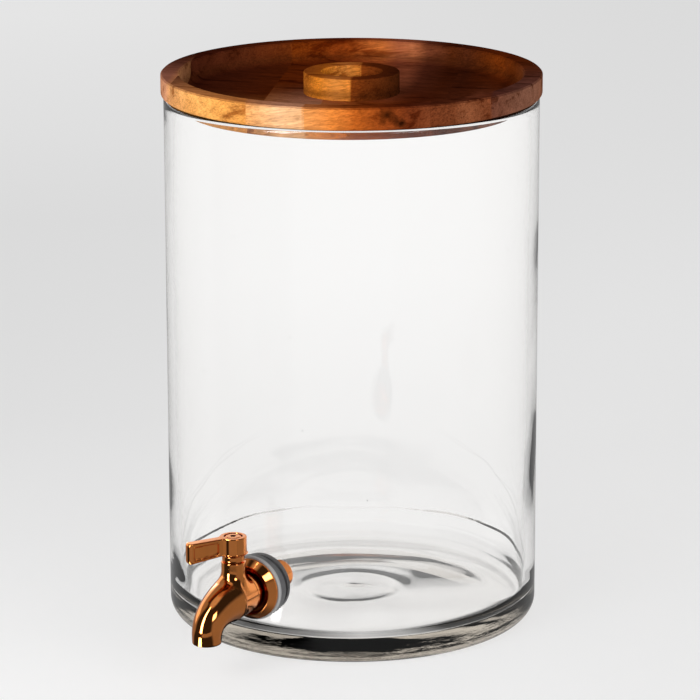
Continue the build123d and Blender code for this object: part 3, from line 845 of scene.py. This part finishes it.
def tap_body_field(points):
    """The cast body: a bent, tapering spout that flows into the neck and meets the tail at a crease."""
    length, z = -points[:, 1], points[:, 2]
    spout = along_path(points, SPOUT_POINTS, SPOUT_RADII)
    spout = keep(spout, BODY_FRONT - length, edge=0.3)
    spout = keep(spout, OUTLET_HEIGHT - z, edge=1.2)
    taper = (BODY_FRONT_RADIUS - TAIL_JOINT_RADIUS) / (BODY_FRONT - TAIL_JOINT)
    radius = TAIL_JOINT_RADIUS + taper * (length - TAIL_JOINT)
    ends = np.maximum(TAIL_JOINT - length, length - BODY_FRONT - 2 * CUT_MARGIN)
    barrel = keep(off_tap(points) - radius, ends, edge=0.25)
    body = blend(spout, barrel, reach=0.7)
    neck = round_bar(off_hub(points), z, NECK_RADIUS, TAP_AXIS, NECK_TOP, edge=0.5)
    body = blend(body, neck, NECK_BLEND)
    body = keep(body, TAIL_JOINT - length, edge=0.1)
    tab_low, tab_high = NECK_TOP - CUT_MARGIN, NECK_TOP + STOP_HEIGHT
    tab = ring_sector(points, STOP_INNER, STOP_OUTER, tab_low, tab_high, STOP_MIDDLE, STOP_HALF)
    body = np.minimum(body, tab)

    bores = along_path(points, SPOUT_POINTS, np.full(len(SPOUT_POINTS), PASSAGE_RADIUS))
    for across, place, bore, low, high in (
        (off_tap(points), length, COLLAR_SOCKET_RADIUS, TAIL_JOINT - CUT_MARGIN, COLLAR_SOCKET_END),
        (off_tap(points), length, CHAMBER_RADIUS, TAIL_JOINT - CUT_MARGIN, CHAMBER_END),
        (off_hub(points), z, SHOULDER_BORE_RADIUS, TAP_AXIS, SHOULDER_BORE_TOP),
        (off_hub(points), z, STEM_RADIUS + RUNNING_GAP, TAP_AXIS, OPEN_TOP),
    ):
        bores = np.minimum(bores, round_bar(across, place, bore, low, high))
    return cut(body, bores, edge=0.25)


# The lever's angle is measured from the spout's line, and its blade runs out along u
LEVER_ANGLE = radians(-30.0)
LEVER_LENGTH, LEVER_THICKNESS = 29.0, 5.8
HUB_RADIUS, HUB_BOTTOM, HUB_TOP = 7.4, 68.2, 78.3
COLLAR_RADIUS, COLLAR_BOTTOM, COLLAR_TOP = 6.25, 64.4, 67.5
LEVER_ROOT, LEVER_TIP = 10.0, 12.0
BLADE_BACK, BLADE_START, BLADE_CORNER = -8.0, 3.0, 2.6
PANEL_START, PANEL_BORDER, PANEL_CORNER, PANEL_DEPTH = 10.2, 1.6, 1.8, 0.6
GROOVE_WIDTH, GROOVE_DEPTH = 1.0, 1.2
SQUARE_HALF, SQUARE_TOP = 3.1, 73.2
SCREW_RADIUS, SCREW_LOW, SCREW_HIGH = 2.5, 72.0, 76.0
SCREW_HEAD_RADIUS, SCREW_SEAT = 5.1, 75.4
# The gap in the collar that the stop moves in: its ends on each side, in degrees, and its ring
GAP_RIGHT, GAP_LEFT = 48.0, 78.0
GAP_INNER, GAP_OUTER, GAP_TOP = 4.9, 8.0, 67.2


def corner_box(u, z, box, radius):
    """The distance to a rectangle with rounded corners, (low u, high u, low z, high z)."""
    du = np.abs(u - (box[0] + box[1]) / 2) - (box[1] - box[0]) / 2 + radius
    dz = np.abs(z - (box[2] + box[3]) / 2) - (box[3] - box[2]) / 2 + radius
    return np.hypot(np.maximum(du, 0), np.maximum(dz, 0)) + np.minimum(np.maximum(du, dz), 0) - radius


def lever_field(points):
    """The handle: a hub, and a blade with a recessed panel on each side and a swelling tip."""
    x, y, z = points[:, 0], points[:, 1] + HUB_REACH, points[:, 2]
    u = x * sin(LEVER_ANGLE) - y * cos(LEVER_ANGLE)
    v = x * cos(LEVER_ANGLE) + y * sin(LEVER_ANGLE)
    # The blade's lower edge drops towards the tip, so heights are measured from a stretched level
    share = np.clip((u - HUB_RADIUS) / (LEVER_LENGTH - HUB_RADIUS), 0, 1)
    height = LEVER_ROOT + (LEVER_TIP - LEVER_ROOT) * share
    level = (HUB_TOP - z) * LEVER_TIP / height
    outline = corner_box(u, level, (BLADE_BACK, LEVER_LENGTH, 0, LEVER_TIP), BLADE_CORNER)
    half = LEVER_THICKNESS / 2
    nose = np.hypot(np.maximum(u - LEVER_LENGTH + half, 0), v) - half
    blade = keep(outline, nose, edge=1.1)
    edges = (PANEL_START, LEVER_LENGTH - half, PANEL_BORDER, LEVER_TIP - PANEL_BORDER)
    panel = corner_box(u, level, edges, PANEL_CORNER)
    depth = half - np.abs(v)
    groove = np.abs(panel + GROOVE_WIDTH / 2) - GROOVE_WIDTH / 2
    groove = keep(groove, depth - GROOVE_DEPTH, edge=0.1)
    panel = keep(panel, depth - PANEL_DEPTH, edge=0.2)
    blade = cut(blade, np.minimum(panel, groove), edge=0.2)
    hub = round_bar(off_hub(points), z, HUB_RADIUS, HUB_BOTTOM, HUB_TOP, edge=0.6)
    cone = COLLAR_RADIUS + (HUB_RADIUS - COLLAR_RADIUS) * (z - COLLAR_TOP) / (HUB_BOTTOM - COLLAR_TOP)
    skirt_ends = np.maximum(COLLAR_TOP - z, z - HUB_BOTTOM - CUT_MARGIN / 2)
    skirt = keep(off_hub(points) - cone, skirt_ends, edge=0.1)
    collar_top = COLLAR_TOP + CUT_MARGIN / 2
    collar = round_bar(off_hub(points), z, COLLAR_RADIUS, COLLAR_BOTTOM, collar_top, edge=0.4)
    hub = np.minimum(np.minimum(hub, skirt), collar)
    blade = np.maximum(blade, BLADE_START - u)
    lever = blend(hub, blade, reach=1.6)
    lever = keep(lever, z - HUB_TOP, edge=0.5)

    square = np.maximum(np.abs(u), np.abs(v)) - (SQUARE_HALF + RUNNING_GAP)
    hole = np.maximum(square, off_hub(points) - STEM_RADIUS - RUNNING_GAP)
    below = COLLAR_BOTTOM - CUT_MARGIN
    hole = keep(hole, np.maximum(below - z, z - SQUARE_TOP), edge=0.05)
    shank = round_bar(off_hub(points), z, SCREW_RADIUS, SCREW_LOW, SCREW_HIGH)
    head = round_bar(off_hub(points), z, SCREW_HEAD_RADIUS, SCREW_SEAT, OPEN_TOP)
    gap_half = (GAP_RIGHT + GAP_LEFT) / 2
    gap_middle = 90 + (GAP_LEFT - GAP_RIGHT) / 2
    gap = ring_sector(points, GAP_INNER, GAP_OUTER, below, GAP_TOP, gap_middle, gap_half)
    bores = np.minimum(np.minimum(hole, shank), np.minimum(head, gap))
    return cut(lever, bores, edge=0.2)


def build_cast_pieces(material):
    """The tap's body and lever, blended and eased as castings are."""
    box = ((-13, -166, 23.5), (13, -120.9, 68))
    mesh = mesh_field("tap_body_cast", tap_body_field, *box, BODY_CELL)
    body = new_object("tap_body_cast", mesh, material, "jar", smooth_angle=50)
    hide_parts("spigot_body")
    reach = LEVER_LENGTH * cos(LEVER_ANGLE) + 2
    box = ((-17, -HUB_REACH - reach, 63.6), (9, -HUB_REACH + 8.6, 79.2))
    mesh = mesh_field("lever_cast", lever_field, *box, LEVER_CELL)
    lever = new_object("lever_cast", mesh, material, "lever", smooth_angle=50)
    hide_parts("lever_handle")


# --- Stage ---

FLOOR_HALF = 8.0
FLOOR_DROP = 0.0002
FLOOR_MATT = (0.55, 0.55, 0.55)
FLOOR_GLOW = (0.60, 0.60, 0.60)
THROUGH_GLASS = 0.92

# Greys of the table from near to far, at its left, at its right and as it shows through the glass
TABLE_LEFT = (
    (0.472, 0.905), (0.53, 0.83), (0.58, 0.785), (0.63, 0.78),
    (0.70, 0.785), (0.77, 0.835), (0.90, 0.90),
)
TABLE_RIGHT = (
    (0.472, 0.835), (0.53, 0.85), (0.58, 0.865), (0.63, 0.85),
    (0.70, 0.83), (0.77, 0.82), (0.90, 0.82),
)
TABLE_THROUGH = ((0.50, 0.98), (0.525, 0.99), (0.56, 0.94), (0.60, 0.98), (0.66, 1.03), (0.75, 1.05))
# How bright the table shows outside the foot, by distance in metres, and under it from near to far
OUTSIDE_FOOT = ((0.085, 0.0), (0.108, 1.0))
UNDER_FOOT = ((0.14, 0.9), (0.32, 0.85), (0.40, 0.35), (0.60, 0.30), (0.72, 0.6), (0.86, 0.8))
# The ring painted on the table under the heel's front for rays through the glass, by distance in metres,
# and its greys from left to right: painted shade at its sides and a painted highlight between
HEEL_FRONT = -0.02
HEEL_RING = ((0.080, 0.0), (0.088, 1.0), (0.110, 1.0), (0.120, 0.0))
HEEL_TONES = (
    (0.10, 0.40), (0.25, 0.10), (0.42, 0.30), (0.52, 0.62),
    (0.62, 0.45), (0.72, 0.05), (0.92, 0.02),
)
# Where the table mirrors each group of windows, by distance from the tap in metres
STRIP_RANGE = ((0.035, 0.0), (0.055, 1.0), (0.15, 1.0), (0.165, 0.0))
FRONT_RANGE = ((0.16, 0.0), (0.22, 1.0))
CARD_RANGE = ((0.015, 0.15), (0.05, 1.0))

# The room's light by height, and by how far a direction turns to the view's side
ROOM_HEIGHTS = ((0.5, 1.0), (0.60, 0.85), (0.76, 0.28))
ROOM_SIDES = ((0.1, 0.7), (0.9, 1.25))
# The share of the cards that shows through the glass, and the grey under it
SOFTENED = (0.4, 0.20)

# What polished surfaces mirror: windows of the sky, as (azimuths from the view's side,
# heights), all in degrees, with a brightness and the width of the soft edge
STUDIO_CARDS = (
    ((-181, 181, -91, 91), 0.035, 2.0),
    ((-181, -96, -60, 60), 0.32, 10.0),
    ((30, 181, -60, 24), 0.28, 14.0),
    ((-181, -110, 6, 30), 1.1, 6.0),
    ((110, 181, 6, 30), 1.0, 6.0),
    ((-181, 181, 74, 91), 0.6, 8.0),
)
STUDIO_STRIPS = (((-53, -38, -60, 75), 14.0, 5.0),)
STUDIO_BOXES = (
    ((-181, -158, 8, 24), 4.0, 5.0),
    ((158, 181, 8, 24), 4.0, 5.0),
    ((28, 48, 29, 46), 7.0, 5.0),
)
# Pale backdrops that only show through the glass
BACKDROPS = (
    ((-181, -108, -20, 60), 0.45, 10.0),
    ((108, 181, -20, 60), 0.45, 10.0),
    ((-60, 60, -20, 60), 0.45, 10.0),
)
# The near table, which only polished metal mirrors
FRONT_TABLE = (((-36, 30, -60, 60), 0.32, 8.0),)
# Ray depths between a first bounce and a second, on the table and on the sky
TABLE_BOUNCE = 1.5
SKY_BOUNCE = 2.5

# (name, place by the view's right, depth and height, power)
LAMPS = (("key", (-1.1, -1.6, 1.1), 20), ("fill", (1.3, -1.5, 0.9), 8))
LAMP_SIZE = 1.0
LAMP_TARGET = Vector((0, 0, 0.2))


def add_lamp(name, place, power):
    """A square soft lamp that lights the object and isn't seen itself."""
    data = bpy.data.lights.new(name, "AREA")
    data.size = LAMP_SIZE
    data.energy = power
    lamp = bpy.data.objects.new(name, data)
    bpy.context.scene.collection.objects.link(lamp)
    lamp.location = place
    lamp.rotation_euler = (LAMP_TARGET - place).to_track_quat("-Z", "Y").to_euler()
    lamp.visible_camera = False
    lamp.visible_glossy = False
    lamp.visible_transmission = False


def first_bounce(tree, limit):
    """1 for rays that have bounced only once, by a limit between two depths."""
    return tree.math("LESS_THAN", tree.add("ShaderNodeLightPath").outputs["Ray Depth"], limit)


def soft_patch(tree, azimuth, height, box, edge):
    """1 inside a window of the sky, (low azimuth, high azimuth, low height, high height) in degrees."""
    low_azimuth, high_azimuth, low, high = box
    total = 1.0
    for value, start, turn in (
        (azimuth, low_azimuth, 1),
        (azimuth, high_azimuth, -1),
        (height, low, 1),
        (height, high, -1),
    ):
        step = tree.math("MULTIPLY", tree.math("SUBTRACT", value, start), turn / edge)
        side = tree.math("ADD", step, 0.5, clamp=True)
        total = tree.math("MULTIPLY", total, side)
    return total


def studio_light(tree, azimuth, height, windows):
    """The brightness of these windows towards a direction, in degrees."""
    total = 0.0
    for box, brightness, edge in windows:
        window = tree.math("MULTIPLY", soft_patch(tree, azimuth, height, box, edge), brightness)
        total = tree.math("ADD", window, total)
    return total


def frontward(tree, parts):
    """How far a vector points to the view's side."""
    return tree.math("MULTIPLY", parts["Y"], -1.0)


def azimuth_of(tree, parts):
    """A vector's direction round from the view's side, in degrees."""
    turn = tree.math("ARCTAN2", parts["X"], frontward(tree, parts))
    return tree.math("MULTIPLY", turn, 180 / pi)


def plain_table(tree, away, depth):
    """The table as it is seen directly: part matt, part glowing."""
    side = tree.ramp(tree.centred(away["X"], 1.5), [(0.0, 0.0), (1.0, 1.0)], "EASE")
    shade = tree.mix(side, tree.ramp(depth, TABLE_LEFT), tree.ramp(depth, TABLE_RIGHT))
    matt = tree.add("ShaderNodeBsdfDiffuse", {"Color": tree.multiplied(shade, FLOOR_MATT)})
    glow = tree.glow(tree.multiplied(shade, FLOOR_GLOW))
    return tree.add("ShaderNodeAddShader", {0: matt.outputs[0], 1: glow}).outputs[0]


def table_through_glass(tree, place, away, depth, plain):
    """The table, brighter through the glass except under the foot, with a painted ring of streaks under
    the heel.
    """
    off_axis = tree.length(place)
    under = tree.ramp(tree.centred(away["Y"], 4.0), UNDER_FOOT, "EASE")
    clear = tree.math("MAXIMUM", tree.ramp(off_axis, OUTSIDE_FOOT, "EASE"), under)
    through = tree.math("MULTIPLY", light_path(tree, "Is Transmission Ray"), clear)
    bright = tree.glow(tree.ramp(depth, TABLE_THROUGH))
    table = tree.mix_shader(tree.math("MULTIPLY", through, THROUGH_GLASS), plain, bright)

    # Under the heel's front the table is painted, for rays through the glass, with dark patches at its
    # sides and a pale streak at its front: painted shade and a painted highlight standing in for the dark
    # cards and pale streak the heel's glass would refract
    front_half = tree.math("LESS_THAN", away["Y"], HEEL_FRONT)
    painted_heel_ring = tree.math("MULTIPLY", tree.ramp(off_axis, HEEL_RING, "EASE"), front_half)
    painted_heel_ring = tree.math("MULTIPLY", painted_heel_ring, light_path(tree, "Is Transmission Ray"))
    heel = tree.glow(tree.ramp(tree.centred(away["X"], 4.0), HEEL_TONES))
    return tree.mix_shader(painted_heel_ring, table, heel)


def mirrored_table(tree, place):
    """What polished metal sees in the table: the cards and strips of the sky, round the tap."""
    from_tap = tree.mapped(place, shift=(0, HUB_REACH * MM, 0))
    azimuth = azimuth_of(tree, tree.split(tree.mapped(from_tap, turn=(0, 0, -VIEW_AZIMUTH))))
    distance = tree.length(from_tap)
    total = 0.0
    for windows, stops in (
        (STUDIO_CARDS, CARD_RANGE),
        (STUDIO_STRIPS, STRIP_RANGE),
        (FRONT_TABLE, FRONT_RANGE),
    ):
        light = studio_light(tree, azimuth, 0.0, windows)
        if windows is STUDIO_STRIPS:
            light = tree.math("MULTIPLY", light, first_bounce(tree, TABLE_BOUNCE))
        light = tree.math("MULTIPLY", light, tree.ramp(distance, stops, "EASE"))
        total = tree.math("ADD", total, light)
    return tree.glow(total, "Strength")


def floor_material():
    """A pale light table that polished metal sees as a studio."""
    material = bpy.data.materials.new("pale_floor")
    material.use_nodes = True
    tree = Nodes(material.node_tree)
    place = tree.add("ShaderNodeTexCoord").outputs["Object"]
    away = tree.split(tree.mapped(place, turn=(0, 0, -VIEW_AZIMUTH)))
    depth = tree.centred(away["Y"], 0.2)
    table = table_through_glass(tree, place, away, depth, plain_table(tree, away, depth))
    outside = tree.math("SUBTRACT", 1.0, light_path(tree, "Is Transmission Ray"))
    polished = tree.math("MULTIPLY", light_path(tree, "Is Glossy Ray"), outside)
    surface = tree.mix_shader(polished, table, mirrored_table(tree, place))
    tree.add("ShaderNodeOutputMaterial", {"Surface": surface})
    return material


def add_floor():
    mesh = bpy.data.meshes.new("floor")
    signs = ((-1, -1), (1, -1), (1, 1), (-1, 1))
    corners = [(x * FLOOR_HALF, y * FLOOR_HALF, -FLOOR_DROP) for x, y in signs]
    mesh.from_pydata(corners, [], [(0, 1, 2, 3)])
    mesh.materials.append(floor_material())
    floor = bpy.data.objects.new("floor", mesh)
    bpy.context.scene.collection.objects.link(floor)


def add_camera():
    data = bpy.data.cameras.new("camera")
    data.lens = CAMERA_LENS
    data.clip_end = CAMERA_CLIP
    camera = bpy.data.objects.new("camera", data)
    bpy.context.scene.collection.objects.link(camera)
    camera.matrix_world = (
        Matrix.Translation(seen(CAMERA_SIDE, -CAMERA_DISTANCE, CAMERA_HEIGHT))
        @ Matrix.Rotation(VIEW_AZIMUTH, 4, "Z")
        @ Matrix.Rotation(pi / 2 - CAMERA_PITCH, 4, "X")
        @ Matrix.Rotation(CAMERA_ROLL, 4, "Z")
    )
    bpy.context.scene.camera = camera


def add_world():
    """A pale room for lighting, and a studio of dark cards and soft boxes for reflections."""
    world = bpy.data.worlds.new("studio")
    bpy.context.scene.world = world
    world.use_nodes = True
    tree = Nodes(world.node_tree)
    direction = tree.add("ShaderNodeTexCoord").outputs["Generated"]
    parts = tree.split(tree.mapped(direction, turn=(0, 0, -VIEW_AZIMUTH)))
    azimuth = azimuth_of(tree, parts)
    height = tree.math("MULTIPLY", tree.math("ARCSINE", parts["Z"]), 180 / pi)

    cards = studio_light(tree, azimuth, height, STUDIO_CARDS)
    boxes = studio_light(tree, azimuth, height, STUDIO_STRIPS + STUDIO_BOXES)
    boxes = tree.math("MULTIPLY", boxes, first_bounce(tree, SKY_BOUNCE))
    share, base = SOFTENED
    softened = tree.math("ADD", tree.math("MULTIPLY", cards, share), base)
    softened = tree.math("ADD", softened, studio_light(tree, azimuth, height, BACKDROPS))
    through = light_path(tree, "Is Transmission Ray")
    studio = tree.mix(through, tree.math("ADD", cards, boxes), softened)

    room = tree.ramp(tree.centred(height, 1 / 180), ROOM_HEIGHTS)
    facing = tree.ramp(tree.centred(frontward(tree, parts), 0.5), ROOM_SIDES)
    room = tree.multiplied(room, facing)
    indirect = light_path(tree, "Is Glossy Ray", "Is Transmission Ray")
    back = tree.add("ShaderNodeBackground", {"Color": tree.mix(indirect, room, studio)})
    tree.add("ShaderNodeOutputWorld", {"Surface": back.outputs[0]})


# --- The scene ---

bpy.context.scene.view_settings.view_transform = "Standard"

glass = glass_material()
copper = copper_material()
slots = {
    "glass": glass,
    "copper_plating": copper,
    "silicone": rubber_material("pale_silicone", (0.38, 0.375, 0.375), 0.35, see_through=0.3),
    "grey_rubber": rubber_material("grey_silicone", (0.105, 0.105, 0.11), 0.42),
    "black_rubber": rubber_material("black_rubber", (0.02, 0.02, 0.02), 0.5),
    "seat_plastic": plastic_material("seat_plastic", (0.85, 0.85, 0.83)),
    "ball_steel": metal_material("ball_steel", (0.62, 0.63, 0.64), 0.12),
    "brass_stem": metal_material("stem_brass", (0.78, 0.58, 0.25), 0.25),
    "screw_steel": metal_material("screw_steel", (0.55, 0.56, 0.57), 0.3),
}
# (node, seed, speckle, where along the stave its front tones give way to its back ones, knots)
STAVES = (
    (1, 3.0, 0.35, 0.0, ()),
    (2, 1.0, 0.5, -0.04, ()),
    (3, 6.0, 0.5, -0.01, ((-0.0813, 0.0512, 0.3035, 0.0045),)),
    (4, 7.0, 0.45, 0.0, ((0.0689, -0.0812, 0.3078, 0.0062), (0.0735, -0.0765, 0.3055, 0.0042))),
    (5, 4.0, 0.9, 0.02, ()),
    (6, 5.0, 0.5, 0.0, ()),
)
lid_tones, knob_tones = (FRONT_TONES, BACK_TONES), (KNOB_TONES, KNOB_TONES)
woods = {
    f"lid_stave_{number}": wood_material(f"acacia_{number}", lid_tones, seed, speckle, turn_at, knots)
    for number, seed, speckle, turn_at, knots in STAVES
}
woods["knob_strip_left"] = wood_material("acacia_knob_light", knob_tones, seed=2.0, speckle=0.6)
woods["knob_strip_right"] = wood_material("acacia_knob_dark", knob_tones, seed=8.0, speckle=0.8)
for row in frame["record"]["subparts"]:
    node = nodes[row["node"]]
    node.data.materials.clear()
    node.data.materials.append(woods.get(row["node"]) or slots[row["material_slot"]])

build_jar(glass)
build_cast_pieces(copper)

add_floor()
add_world()
add_camera()
for name, place, power in LAMPS:
    add_lamp(name, seen(*place), power)
